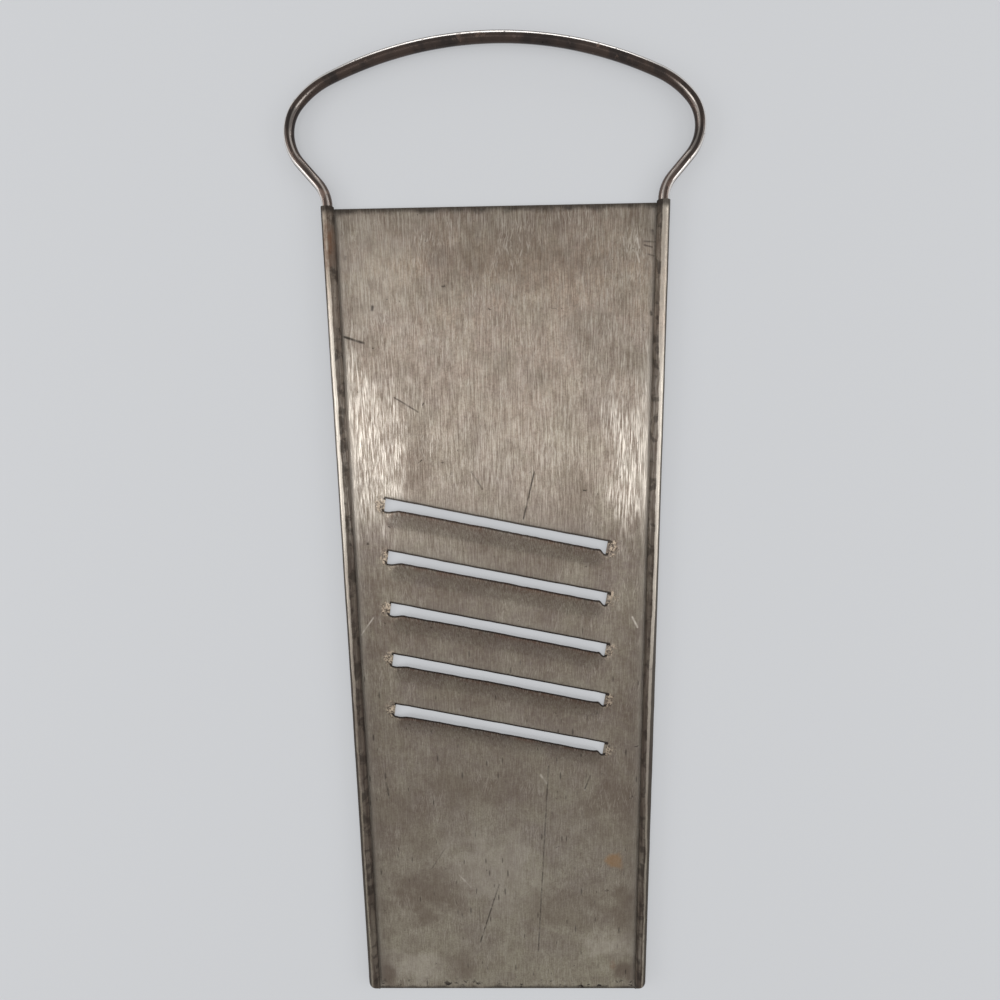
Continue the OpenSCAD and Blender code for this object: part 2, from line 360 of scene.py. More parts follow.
def hem_points(depth, top):
    """Points of a hem at a depth below the outside of its fold: half a circle, then the level flap."""
    across = np.repeat(column_x[None, :], hem_rows, axis=0)
    bend_y = -np.sin(fold_turn) * (fold_r - depth)
    bend_z = fold_r + np.cos(fold_turn) * (fold_r - depth)
    inward_y = np.concatenate([bend_y, flap_y])
    height = np.concatenate([bend_z, np.full(len(flap_y), depth)])
    along = (PLATE_LEN - fold_r - inward_y) if top else (fold_r + inward_y)
    slack = HEM_SLACK * wander(column_x, SLACK_STEP, SLACK_SEED + top)
    slack = slack * ramp(np.arange(len(along)) / len(along))[:, None]
    return np.stack([across, along[:, None] + 0 * across, height[:, None] + np.abs(slack)], axis=-1)


def whole_sheet(depth):
    """Foot hem, sheet and top hem in one grid of rows and columns."""
    foot_hem = hem_points(depth, False)[::-1]
    return np.concatenate([foot_hem, sheet_points(depth), hem_points(depth, True)])


front, back = whole_sheet(0.0), whole_sheet(SHEET_T)
print("front and back grids of", front.shape[:2], "points, z from", front[..., 2].min().round(2),
      "to", back[..., 2].max().round(2), "mm")

# %% [markdown]
# ## Cutting the slots and closing the edges
# A mask says which cells of the grid are tin. The cells inside a slot are left out, and so are the
# cells of the hems outside their span. Wherever a kept cell has no kept neighbour, a narrow wall
# joins front and back, so the mesh is closed all round, cut edges included.

# %% From grid to mesh
def closed_sheet(front_grid, back_grid, kept):
    """Quads of both faces plus a wall along each border between a kept cell and a missing one."""
    count = front_grid.shape[0] * front_grid.shape[1]
    f = np.arange(count).reshape(front_grid.shape[:2])
    b = f + count
    padded = np.pad(kept, 1)
    corners = [(slice(None, -1), slice(None, -1)), (slice(None, -1), slice(1, None)),
               (slice(1, None), slice(1, None)), (slice(1, None), slice(None, -1))]
    quads = [np.stack([f[c][kept] for c in corners], 1),
             np.stack([b[c][kept] for c in corners[::-1]], 1)]
    neighbours = [padded[:-2, 1:-1], padded[1:-1, 2:], padded[2:, 1:-1], padded[1:-1, :-2]]
    for side, beside in enumerate(neighbours):
        open_side = kept & ~beside
        start, end = corners[side], corners[(side + 1) % 4]
        wall = [f[start], b[start], b[end], f[end]]
        quads.append(np.stack([points[open_side] for points in wall], 1))
    quads = np.concatenate(quads)
    used, faces = np.unique(quads, return_inverse=True)
    points = np.concatenate([front_grid.reshape(-1, 3), back_grid.reshape(-1, 3)])[used]
    return points, faces.reshape(-1, 4), used


on_flat = (column_turn[:-1] == 0) & (column_turn[1:] == 0)
middle_x = (column_x[:-1] + column_x[1:]) / 2
in_hem_span = on_flat & (np.abs(middle_x) < hem_x)
kept = np.ones((front.shape[0] - 1, front.shape[1] - 1), bool)
kept[:hem_rows] = in_hem_span
kept[-hem_rows:] = in_hem_span
middle_v = (row_v[:-1, 0] + row_v[1:, 0]) / 2
in_gap = (middle_v > 0) & (middle_v < SLOT_GAP) & (row_knife[:-1, 0] == row_knife[1:, 0])
in_length = on_flat & (middle_x > left_end) & (middle_x < right_end)
kept[hem_rows:-hem_rows] &= ~(in_gap[:, None] & in_length[None, :])
sheet_xyz, sheet_faces, sheet_used = closed_sheet(front, back, kept)
print(len(sheet_xyz), "points and", len(sheet_faces), "faces;", int((~kept).sum()), "cells left open")

# %% [markdown]
# ## Marks for the finish
# Dirt, wear and painted light follow the shape: the crease beside each roll is darker, grinding marks
# and painted shade run down from each cutting edge, a painted highlight lies over each slot, a
# painted light line runs beside each roll, and the cut edges carry painted shade.
# One more mark tells the front face from the back. These are numbers stored on the points, so that
# the materials can read them and nothing has to be painted by hand.

# %% Wear marks and painted-light marks on the points
# How far each mark reaches in millimetres until it is down to about a third, and the share of a
# roll's turn at which the crease starts.
GRIND_AND_SHADE_REACH, LIT_REACH = 2.2, 3.0
CUT_UP, CUT_DOWN = 0.75, 0.9
CREASE_REACH, BESIDE_LIGHT_REACH = 0.2, 1.1
CREASE_FROM, CREASE_SPAN = 0.70, 0.2


def with_hems(values):
    """Pads marks of the sheet's rows with zeros for the rows of both hems."""
    whole = np.broadcast_to(values, (len(row_y), len(column_x)))
    return np.pad(whole, ((hem_rows, hem_rows), (0, 0)))


near_knife = (np.abs(knife_u) < HALF_KNIFE + 1) & (np.abs(columns) < LEG_X)
lip_mark = lip_height(knife_u, row_v) / LIP_RISE
above_slot, below_slot = np.clip(row_v - SLOT_GAP, 0, None), np.clip(row_v, None, 0)
is_below, is_above = row_v <= TINY, row_v >= SLOT_GAP - TINY
# Grinding marks and a painted shade both run down from each cutting edge.
grind_and_shade_mark = np.exp(below_slot / GRIND_AND_SHADE_REACH) * is_below * end_share(knife_u) ** 0.5
# A painted highlight on the tin just over each slot.
lit_mark = np.exp(-above_slot / LIT_REACH) * is_above * end_share(knife_u) ** 0.5
# Painted shade along the cut edges above and below each slot.
cut_above = np.exp(-above_slot / CUT_UP) * is_above
cut_below = np.exp(below_slot / CUT_DOWN) * is_below
cut_edge_shade = np.where(near_knife, np.maximum(cut_above, cut_below), 0)
pucker_mark = np.abs(pucker(knife_u, row_v, row_knife)) / PUCKER_HIGH * inward
roll_mark = np.broadcast_to(column_turn / ROLL_SWEEP, grid_y.shape)
clear_of_roll = np.clip(LEG_X - ROLL_RO - np.abs(grid_x), 0, None)
crease_mark = np.where(column_turn > 0, ramp((roll_mark - CREASE_FROM) / CREASE_SPAN),
                       np.exp(-clear_of_roll / CREASE_REACH))
# A painted light line on the sheet beside each roll, stored as the beside mark.
painted_light_beside_roll = np.where(column_turn > 0, 0, np.exp(-clear_of_roll / BESIDE_LIGHT_REACH))
SHEET_MARKS = {
    "lip": lip_mark, "grind_and_shade": grind_and_shade_mark, "lit": lit_mark, "cut": cut_edge_shade,
    "pucker": pucker_mark, "crease": crease_mark, "beside": painted_light_beside_roll, "roll": roll_mark}
for mark, values in SHEET_MARKS.items():
    print(mark, "from", round(float(values.min()), 2), "to", round(float(values.max()), 2))


# %% [markdown]
# ## Putting a piece into the scene
# A mesh takes its points in metres. The faces are shaded smooth, and edges sharper than an angle
# are marked sharp, so a cut edge stays crisp. The piece then rides on the part's one body, and the
# imported piece that it replaces is hidden.

# %% A finished piece
SHARP_ANGLE = math.radians(38)


def finished_piece(name, points, faces, node, marks):
    """Makes a mesh object of points in millimetres and faces, with marks stored on its points."""
    mesh = bpy.data.meshes.new(name)
    mesh.from_pydata((points * MM).tolist(), [], faces)
    for mark, values in marks.items():
        mesh.attributes.new(mark, "FLOAT", "POINT").data.foreach_set("value", values.astype(np.float32))
    mesh.polygons.foreach_set("use_smooth", np.ones(len(mesh.polygons), bool))
    mesh.set_sharp_from_angle(angle=SHARP_ANGLE)
    mesh.validate()
    piece = bpy.data.objects.new(name, mesh)
    bpy.context.scene.collection.objects.link(piece)
    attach(piece, "root")
    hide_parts(node)
    print(name, "has", len(mesh.polygons), "faces")
    return piece


foot = np.array([0, FOOT_Y, 0])
stored = {mark: np.tile(with_hems(values).ravel(), 2)[sheet_used]
          for mark, values in SHEET_MARKS.items()}
stored["front"] = np.repeat([1.0, 0.0], front[..., 0].size)[sheet_used]
plate = finished_piece(
    "tinned_plate", sheet_xyz + foot, sheet_faces.tolist(), "cutter_plate", stored)

# %% [markdown]
# ## The path of the wire
# The wire leaves each roll, bends outwards, runs straight, turns over a shoulder and a wider
# haunch, and crosses the top in one long crown. Each stretch is an arc or a line that starts in the
# direction in which the last one ended. The radii of the haunch and the crown are worked out so
# that the crown's centre lies on the middle line and its top reaches the bow's height.

# %% Arcs of the bow
LEG_STUB = 0.6
FOOT_R, FLARE = 10.0, math.radians(41)
SHOULDER_R = 13.0
HAUNCH_BEFORE, HAUNCH_AFTER = math.radians(18), math.radians(6)
LEG_START = wire_low[1] - FOOT_Y

shoulder_x = wire_high[0] - WIRE_R - SHOULDER_R
crown_y = wire_high[1] - FOOT_Y - PLATE_LEN - WIRE_R
foot_end = np.array([LEG_X + FOOT_R * (1 - math.cos(FLARE)), LEG_STUB + FOOT_R * math.sin(FLARE)])
flare_len = (shoulder_x + SHOULDER_R * math.cos(FLARE) - foot_end[0]) / math.sin(FLARE)
shoulder_y = foot_end[1] + flare_len * math.cos(FLARE) + SHOULDER_R * math.sin(FLARE)
rise_left = crown_y - shoulder_y
bare_crown_r = (shoulder_x ** 2 + rise_left ** 2 - SHOULDER_R ** 2) / (2 * (rise_left - SHOULDER_R))
meet = math.acos(shoulder_x / (bare_crown_r - SHOULDER_R))
haunch_from, haunch_to = meet - HAUNCH_BEFORE, meet + HAUNCH_AFTER


def on_circle(centre, radius, angles):
    """Points of an arc: the centre plus the radius times (cos, sin) of each angle."""
    return np.asarray(centre) + radius * np.stack([np.cos(angles), np.sin(angles)], 1)


haunch_start = on_circle([shoulder_x, shoulder_y], SHOULDER_R, np.array([haunch_from]))[0]
crown_lift = (1 - math.sin(haunch_to)) / math.cos(haunch_to)
haunch_up = math.sin(haunch_to) - math.sin(haunch_from)
haunch_in = math.cos(haunch_from) - math.cos(haunch_to)
to_climb = crown_y - haunch_start[1] - haunch_start[0] * crown_lift
haunch_r = to_climb / (haunch_up - haunch_in * crown_lift)
haunch_centre = haunch_start - haunch_r * np.array([math.cos(haunch_from), math.sin(haunch_from)])
crown_r = haunch_r + haunch_centre[0] / math.cos(haunch_to)

half_bow = np.concatenate([
    on_circle([LEG_X + FOOT_R, LEG_STUB], FOOT_R, np.linspace(math.pi, math.pi - FLARE, 16)),
    on_circle([shoulder_x, shoulder_y], SHOULDER_R, np.linspace(-FLARE, haunch_from, 30)),
    on_circle(haunch_centre, haunch_r, np.linspace(haunch_from, haunch_to, 16)[1:]),
    on_circle([0, crown_y - crown_r], crown_r, np.linspace(haunch_to, math.pi / 2, 40)[1:])])
half_wire = np.concatenate([[[LEG_X, LEG_START - PLATE_LEN]], half_bow])
wire_line = np.concatenate([half_wire, half_wire[-2::-1] * [-1, 1]]) + [0, PLATE_LEN]
print("crown radius", round(crown_r, 1), "mm, haunch radius", round(haunch_r, 1), "mm")

# %% [markdown]
# ## The wire as a swept ring
# A round wire is a ring carried along that path. The path is first cut into even steps, coarse in
# the hidden legs and fine in the bow. The bow is a little oval and leaves its plane slightly, as
# wire bent by hand does. The ends are closed by rings that shrink to a dome.

# %% Sweeping the wire
RING_POINTS = 24
RING_STEP = 1.1
LEG_STEP = 12.0
WOBBLE = 0.28
OVAL, OVAL_TURN = 0.035, 0.6
TIP_SHARE = 0.02
OVAL_WANDER, WOBBLE_WANDER = (24, 41), (60, 42)
BOW_START, BOW_BLEND = 4, 25


def even_steps(line, leg, leg_step, step):
    """The line cut evenly: domed tips, long steps over both legs, short ones over the bow."""
    reach = np.append(0, np.cumsum(np.hypot(*np.diff(line, axis=0).T)))
    end, tip_step = reach[-1], WIRE_R / 4
    spots = stations([0, WIRE_R, leg, end - leg, end - WIRE_R, end],
                     [tip_step, leg_step, step, leg_step, tip_step])
    return np.stack([np.interp(spots, reach, line[:, axis]) for axis in (0, 1)], 1), spots


def swept_wire(line, spots, bow):
    """Rings of radius r about the path: path + r (cos a times the side way + sin a times up)."""
    ahead = np.gradient(line, axis=0)
    ahead = ahead / np.linalg.norm(ahead, axis=1, keepdims=True)
    sideways = np.stack([ahead[:, 1], -ahead[:, 0], np.zeros(len(line))], 1)
    angles = np.linspace(0, 2 * math.pi, RING_POINTS, endpoint=False)
    oval = OVAL * bow * wander(spots, *OVAL_WANDER)[:, None]
    radius = WIRE_R * (1 - np.abs(oval) + oval * np.cos(2 * (angles[None, :] - OVAL_TURN)))
    from_end = np.minimum(spots, spots[-1] - spots)
    dome = np.sqrt(np.clip(1 - np.clip(1 - from_end / WIRE_R, 0, 1) ** 2, TIP_SHARE, 1))
    radius = radius * dome[:, None]
    height = WIRE_Z + WOBBLE * bow[:, 0] * wander(spots, *WOBBLE_WANDER)
    centre = np.column_stack([line, height])
    ring = (np.cos(angles)[None, :, None] * sideways[:, None]
            + np.sin(angles)[None, :, None] * np.array([0, 0, 1.0]))
    return centre[:, None] + radius[..., None] * ring, angles, np.abs(ahead[:, 1])


def tube_faces(ring_count, ring_points):
    """Quads between neighbouring rings, wrapped round, and one flat cap on each end."""
    index = np.arange(ring_count * ring_points).reshape(ring_count, ring_points)
    after = np.roll(index, -1, axis=1)
    sides = np.stack([index[:-1], index[1:], after[1:], after[:-1]], -1).reshape(-1, 4)
    return sides.tolist() + [index[0].tolist(), index[-1][::-1].tolist()]


leg_len = PLATE_LEN - LEG_START
line, spots = even_steps(wire_line, leg_len, LEG_STEP, RING_STEP)
past_leg = np.minimum(spots, spots[-1] - spots) - leg_len
bow_share = ramp((past_leg - BOW_START) / BOW_BLEND)[:, None]
rings, ring_angles, upright = swept_wire(line, spots, bow_share)
print(len(rings), "rings of", RING_POINTS, "points along", round(float(spots[-1]), 1), "mm of wire")

# %% The wire in the scene
wire_points = rings.reshape(-1, 3) + foot
wire_marks = {
    "along": np.repeat(spots, RING_POINTS),
    "around": np.tile(np.sin(ring_angles), len(rings)),
    "outer": np.tile(np.cos(ring_angles), len(rings)),
    "upright": np.repeat(upright, RING_POINTS),
    "bow": np.repeat(bow_share[:, 0], RING_POINTS)}
wire_faces = tube_faces(*rings.shape[:2])
wire = finished_piece("bow_wire", wire_points, wire_faces, "handle_wire", wire_marks)

# %% [markdown]
# ## Building materials from small effects
# Every finish here is layers of the same few effects: brushed streaks, soft patches, pits,
# scratches and stains. Each effect is a node group, built once and placed wherever it is needed
# with its own numbers. To keep the node code readable, what a node gives is wrapped in a value
# that knows its tree. So sums of masks read as plain arithmetic, and each sum adds its own node.

# %% Helpers for nodes
def put(tree, kind, inputs=None, output=0, **options):
    """Adds a shader node, fills its inputs with numbers or values, and returns one of its outputs."""
    made = tree.nodes.new("ShaderNode" + kind)
    for option, setting in options.items():
        setattr(made, option, setting)
    for key, given in (inputs or {}).items():
        if isinstance(given, Value):
            tree.links.new(given.socket, made.inputs[key])
        else:
            made.inputs[key].default_value = given
    return Value(tree, made.outputs[output])


class Value:
    """What one output of a node gives. With | the stronger of two values wins."""

    def __init__(self, tree, socket):
        self.tree, self.socket = tree, socket

    def reckon(self, operation, *values, clamp=False):
        """The result of one sum, kept from 0 to 1 if that is asked for."""
        return put(self.tree, "Math", dict(enumerate(values)), operation=operation, use_clamp=clamp)

    def __add__(self, other):
        return self.reckon("ADD", self, other)

    def __sub__(self, other):
        return self.reckon("SUBTRACT", self, other)

    def __rsub__(self, other):
        return self.reckon("SUBTRACT", other, self)

    def __mul__(self, other):
        return self.reckon("MULTIPLY", self, other)

    def __or__(self, other):
        return self.reckon("MAXIMUM", self, other)

    __ror__ = __or__

    def less(self, other):
        """What is left of this value without another, kept from 0 to 1."""
        return self.reckon("SUBTRACT", self, other, clamp=True)

    def between(self, low, high, start=0.0, end=1.0):
        """Carries the span low to high over to the span start to end, with smooth ends."""
        span = {"Value": self, "From Min": low, "From Max": high, "To Min": start, "To Max": end}
        return put(self.tree, "MapRange", span, interpolation_type="SMOOTHSTEP")

    def vector(self, operation, *others, gives=0):
        """The result of one sum of vectors that starts with this one."""
        values = dict(enumerate((self, *others)))
        return put(self.tree, "VectorMath", values, gives, operation=operation)

    def axis(self, name):
        """One of the three numbers of this vector."""
        return put(self.tree, "SeparateXYZ", {0: self}, name)

    def noise(self, scale, detail, roughness=0.5, distortion=0.0):
        """Cloudy noise from 0 to 1 at this point, with a scale in clouds to the metre."""
        return put(self.tree, "TexNoise", {"Vector": self, "Scale": scale, "Detail": detail,
                                           "Roughness": roughness, "Distortion": distortion})

    def mark(self, name):
        """A mark that is stored on the points of the mesh."""
        return put(self.tree, "Attribute", output="Fac", attribute_name=name)

    def lead_to(self, socket):
        """Links this value to an input."""
        self.tree.links.new(self.socket, socket)


def mixed(share, first, second):
    """The first colour turning into the second as the share goes from 0 to 1."""
    return put(share.tree, "Mix", {0: share, 6: first, 7: second}, 2, data_type="RGBA")


def new_effect(name, inputs, outputs):
    """An empty node group with named inputs and outputs: its tree, its values and its results."""
    tree = bpy.data.node_groups.new(name, "ShaderNodeTree")
    for socket, start in inputs.items():
        kind = "NodeSocketVector" if start is None else "NodeSocketFloat"
        made = tree.interface.new_socket(socket, in_out="INPUT", socket_type=kind)
        if start is not None:
            made.default_value = start
    for socket in outputs:
        tree.interface.new_socket(socket, in_out="OUTPUT", socket_type="NodeSocketFloat")
    given = tree.nodes.new("NodeGroupInput").outputs
    result = tree.nodes.new("NodeGroupOutput").inputs
    return tree, {socket: Value(tree, given[socket]) for socket in inputs}, result


def apply_effect(effect, at, **inputs):
    """Places an effect at the points of a piece and returns what it gives, by name."""
    first = put(at.tree, "Group", {"Vector": at, **inputs}, node_tree=effect)
    return {socket.name: Value(at.tree, socket) for socket in first.socket.node.outputs}


# %% [markdown]
# ## The shared effects
# Streaks are noise stretched along the direction of rubbing. Patches are soft clouds cut off at a
# level. Pits are the middles of scattered cells. A scratch is the distance to a short line, thinned
# where noise says that the point skipped. A stain is an oval whose border is pushed in and out by a
# noise that it is given. All of them work in metres on the piece itself.

# %% Streaks, patches, pits, scratches and stains
STAIN_PUSH = 2.4


def make_streaks():
    """Noise with many lines across and few along: slow shade and sharp short strokes."""
    tree, given, result = new_effect(
        "brushed_streaks", {"Vector": None, "Across": 2400.0, "Along": 220.0}, ["Shade", "Strokes"])
    stretch = put(tree, "CombineXYZ", {"X": given["Across"], "Y": given["Along"], "Z": given["Across"]})
    stretched = given["Vector"].vector("MULTIPLY", stretch)
    stretched.noise(0.35, 3.0, 0.6).between(0.3, 0.7).lead_to(result["Shade"])
    stretched.noise(1.0, 2.0, 0.7).between(0.40, 0.64).lead_to(result["Strokes"])
    return tree


def make_patches():
    """Soft clouds: noise of a scale, cut off at a level with a soft border."""
    tree, given, result = new_effect(
        "soft_patches", {"Vector": None, "Scale": 60.0, "Level": 0.5, "Softness": 0.1}, ["Mask"])
    cloud = given["Vector"].noise(given["Scale"], 6.0, 0.62, 0.4)
    low, high = given["Level"] - given["Softness"], given["Level"] + given["Softness"]
    cloud.between(low, high).lead_to(result["Mask"])
    return tree


def make_pits():
    """Small dark pits: cell middles nearer than a size, in the cells that a second noise picks."""
    tree, given, result = new_effect(
        "corrosion_pits", {"Vector": None, "Scale": 300.0, "Size": 0.2, "Level": 0.55}, ["Mask"])
    gap = put(tree, "TexVoronoi", {"Vector": given["Vector"], "Scale": given["Scale"]}, "Distance")
    cell = Value(tree, gap.socket.node.outputs["Color"])
    pick, vary = [put(tree, "SeparateColor", {0: cell}, part) for part in (0, 1)]
    size = given["Size"] * (vary * 0.8 + 0.5)
    chosen = pick.reckon("GREATER_THAN", pick, given["Level"])
    (gap.between(size, size * 0.4) * chosen).lead_to(result["Mask"])
    return tree


def make_scratch():
    """A fine line from start to end: near 1 where the distance to it is under its width."""
    tree, given, result = new_effect(
        "scratch", {"Vector": None, "Start": None, "End": None, "Width": 0.0003, "Skip": 1.0}, ["Mask"])
    offset = given["Vector"].vector("MULTIPLY", (1, 1, 0)).vector("SUBTRACT", given["Start"])
    course = given["End"].vector("SUBTRACT", given["Start"])
    along = offset.vector("DOT_PRODUCT", course, gives="Value")
    whole = course.vector("DOT_PRODUCT", course, gives="Value")
    share = along.reckon("DIVIDE", along, whole, clamp=True)
    nearest = put(tree, "VectorMath", {0: course, "Scale": share}, operation="SCALE")
    gap = offset.vector("DISTANCE", nearest, gives="Value")
    (gap.between(given["Width"], 0.0) * given["Skip"]).lead_to(result["Mask"])
    return tree


def make_stain():
    """A ragged oval: 1 in its middle, 0 past its reach, with a border that the push moves."""
    tree, given, result = new_effect(
        "stain", {"Vector": None, "Centre": None, "Reach": None, "Push": 0.0}, ["Mask"])
    shares = given["Vector"].vector("SUBTRACT", given["Centre"]).vector("DIVIDE", given["Reach"])
    edge = shares.vector("LENGTH", gives="Value") + given["Push"] * STAIN_PUSH
    edge.between(1.0, 0.3).lead_to(result["Mask"])
    return tree


streaks, patches, pits = make_streaks(), make_patches(), make_pits()
scratch, stain = make_scratch(), make_stain()
print("effects:", [effect.name for effect in (streaks, patches, pits, scratch, stain)])


# %% [markdown]
# ## Worn tin
# Tin over steel starts as a bright skin. It is rubbed into fine lines along the sheet, dulls to a
# warm grey, and is darker over the knives. So the ground colour is a row of tones from the foot to
# the top, stirred by clouds. Over it lie a painted sheen on both sides of the upper sheet and a
# fine grain, then stains and stray strokes, then the grinding, the reddish fringe and painted shade
# at the knives with painted glints and shade on the puckers, then the rolls with their painted
# highlight, dirt, painted shade and darker creases, and last pits, cut edges in painted shade, and
# scratches.

# %% Tones of the tin
TIN_BRIGHT = (0.74, 0.68, 0.60, 1)
TIN_BROWN = (0.15, 0.112, 0.086, 1)
# This brown is dirt and painted shade on the roll flanks, and painted shade in the pucker cracks.
FLANK_BROWN = (0.058, 0.043, 0.034, 1)
# The darkest brown is dirt, pits and dark marks, and also the painted shade at the folds, under the
# rolls, below the knives and along the cut edges.
GRIME_AND_SHADE = (0.022, 0.017, 0.014, 1)
RUST = (0.15, 0.075, 0.042, 1)
FRINGE = (0.17, 0.072, 0.042, 1)
PUCKER_GLINT = (0.62, 0.50, 0.38, 1)
TAN = (0.33, 0.19, 0.085, 1)
OLIVE = (0.36, 0.335, 0.25, 1)
MAUVE = (0.22, 0.18, 0.165, 1)

# The ground tones, each at its share of the way from the foot to the top.
TONES = [
    (0.0, (0.335, 0.302, 0.23)), (0.09, (0.33, 0.296, 0.232)), (0.24, (0.285, 0.25, 0.205)),
    (0.40, (0.168, 0.133, 0.108)), (0.62, (0.174, 0.138, 0.113)), (0.695, (0.415, 0.342, 0.282)),
    (0.86, (0.495, 0.395, 0.322)), (0.94, (0.455, 0.35, 0.268)), (0.985, (0.26, 0.203, 0.162)),
    (1.0, (0.23, 0.18, 0.142))]

# Clouds over the tones: clouds to the metre, strength and tint.
CLOUDS = [(38.0, 0.50, MAUVE), (61.0, 0.38, OLIVE), (170.0, 0.38, TIN_BROWN),
          (700.0, 0.26, OLIVE), (1500.0, 0.42, TIN_BROWN)]

# Rubbed lines to the metre, across the sheet and along it, and the lean of the stray ones.
RUBBED_LINES = {"Across": 2600.0, "Along": 140.0}
GRAIN_LINES = {"Across": 2300.0, "Along": 150.0}
STRAY_LINES = {"Across": 2000.0, "Along": 190.0}
STRAY_LEANS = (0.24, -0.16)
print(len(TONES), "tones and", len(CLOUDS), "kinds of cloud")

# %% Marks on the tin
# Scratches run from one point to another, in millimetres on the sheet, with a width and a depth.
SCRATCHES = [
    ((17.4, -75.7), (13.1, -159.8), 0.5, 0.75), ((-2.5, -128.1), (-10.7, -155.4), 0.55, 0.85),
    ((12.5, 39.3), (8.5, 22.3), 0.5, 0.8), ((-9.8, 39.6), (-6.0, 33.4), 0.45, 0.6),
    ((-52.2, 86.7), (-45.8, 84.6), 0.7, 0.9), ((-46.0, -82.5), (-45.2, -89.0), 0.7, 0.85),
    ((33.6, -80.0), (31.6, -85.5), 0.6, 0.8), ((-24.0, -112.0), (-29.5, -121.0), 0.45, 0.5),
    ((-11.0, -137.0), (-10.5, -152.0), 0.35, 0.4), ((-36.0, 66.0), (-28.0, 61.0), 0.45, 0.6),
    ((49.3, 115.8), (53.0, 115.5), 0.5, 0.7), ((49.4, 114.6), (52.0, 113.9), 0.5, 0.7),
    ((50.8, 111.7), (52.8, 111.1), 0.45, 0.6), ((52.0, 119.0), (52.2, 118.2), 0.9, 0.8),
    ((52.2, 93.2), (52.4, 92.4), 0.9, 0.8), ((-42.0, 96.5), (-42.2, 95.6), 0.9, 0.8),
    ((-50.2, 112.6), (-50.4, 112.0), 0.8, 0.8)]
BRIGHT_SCRATCHES = [
    ((48.4, -15.2), (50.4, -19.1), 0.55, 1.0), ((-47.6, -14.6), (-52.4, -21.2), 0.45, 0.6),
    ((14.4, -79.5), (16.6, -83.0), 0.7, 0.45), ((-18.5, -124.0), (-14.0, -129.5), 0.55, 0.4),
    ((47.0, 116.8), (47.7, 113.7), 0.45, 0.7), ((46.8, 112.4), (47.9, 109.3), 0.45, 0.6)]

# Stains and the painted sheens have a middle and a reach both ways, in millimetres, and a strength.
PAINTED_SHEENS = [((-46, 50), (18, 43), 1.0), ((48, 44), (12, 36), 0.95), ((6, 42), (26, 28), 0.12)]
TAN_SPOTS = [((44.8, -117.2), (4.8, 4.2), 0.6)]
RUST_SPOTS = [((-54.8, 119.5), (3.2, 13.0), 0.75), ((43.5, -166.5), (1.8, 3.2), 0.45)]
DARK_STAINS = [
    ((-21.0, -167.5), (11.0, 9.0), 0.50), ((-30.0, -133.0), (20.0, 16.0), 0.55),
    ((44.0, -90.0), (17.0, 20.0), 0.50), ((22.0, -140.0), (26.0, 13.0), 0.34),
    ((-12.0, -86.0), (26.0, 11.0), 0.38), ((51.0, -172.0), (8.0, 8.0), 0.75),
    ((48.0, -136.0), (7.0, 16.0), 0.5), ((6.0, 112.0), (38.0, 12.0), 0.42),
    ((-29.0, 44.0), (8.0, 26.0), 0.42), ((28.0, 32.0), (8.0, 18.0), 0.36),
    ((-40.0, -98.0), (18.0, 22.0), 0.34), ((-50.0, -171.5), (5.5, 9.0), 0.75)]
PALE_STAINS = [
    ((-36.0, -167.5), (22.0, 9.0), 0.20), ((44.0, -157.0), (18.0, 7.5), 0.20),
    ((-4.0, -122.0), (26.0, 26.0), 0.14), ((-42.0, 108.0), (22.0, 22.0), 0.12)]
stain_count = len(TAN_SPOTS + RUST_SPOTS + DARK_STAINS + PALE_STAINS)
print(len(SCRATCHES) + len(BRIGHT_SCRATCHES), "scratches and", stain_count, "stains")


# %% [markdown]
# ## Laying the tin
# Each mark in the lists becomes one mask, and the strongest mask at a point wins. The finish is
# then a row of short steps, each a function: ground tone, knives, puckers, rolls and dark marks.
# All of them start from the spot, which is the place on the piece in metres.

# %% Masks from the lists
def new_material(name):
    """A material, its Principled shader, and the spot: the place on the piece."""
    made = bpy.data.materials.new(name)
    made.use_nodes = True
    tree = made.node_tree
    return made, tree.nodes["Principled BSDF"], put(tree, "TexCoord", output="Object")


def patch(spot, scale, level, softness):
    """A mask of soft patches on the piece."""
    return apply_effect(patches, spot, Scale=scale, Level=level, Softness=softness)["Mask"]


def in_metres(point):
    """A point of the lists as a vector in metres."""
    return (point[0] * MM, point[1] * MM, 0)


def all_scratches(spot, lines):
    """The strongest of a list of scratches at each point."""
    found = 0.0
    skip = spot.noise(420.0, 3.0).between(0.3, 0.6, 0.35, 1.0)
    for start, end, width, depth in lines:
        line = apply_effect(scratch, spot, Start=in_metres(start), End=in_metres(end),
                            Width=width * MM, Skip=skip)
        found = found | line["Mask"] * depth
    return found


def all_stains(spot, ovals, stretch=(1, 1, 1)):
    """The strongest of a list of stains at each point. The reach in height takes in the whole roll."""
    found = 0.0
    push = spot.vector("MULTIPLY", stretch).noise(105.0, 4.0, 0.62) - 0.5
    for centre, reach, strength in ovals:
        size = (reach[0] * MM, reach[1] * MM, 1.0)
        oval = apply_effect(stain, spot, Centre=in_metres(centre), Reach=size, Push=push)
        found = found | oval["Mask"] * strength
    return found


def stray_strokes(spot):
    """Light strokes that lean to both sides of the rubbing, in loose groups."""
    found = 0.0
    for lean in STRAY_LEANS:
        turned = put(spot.tree, "Mapping", {"Vector": spot, "Rotation": (0, 0, lean)})
        found = found | apply_effect(streaks, turned, **STRAY_LINES)["Strokes"].between(0.86, 1.0)
    return found * patch(spot, 70.0, 0.54, 0.12)


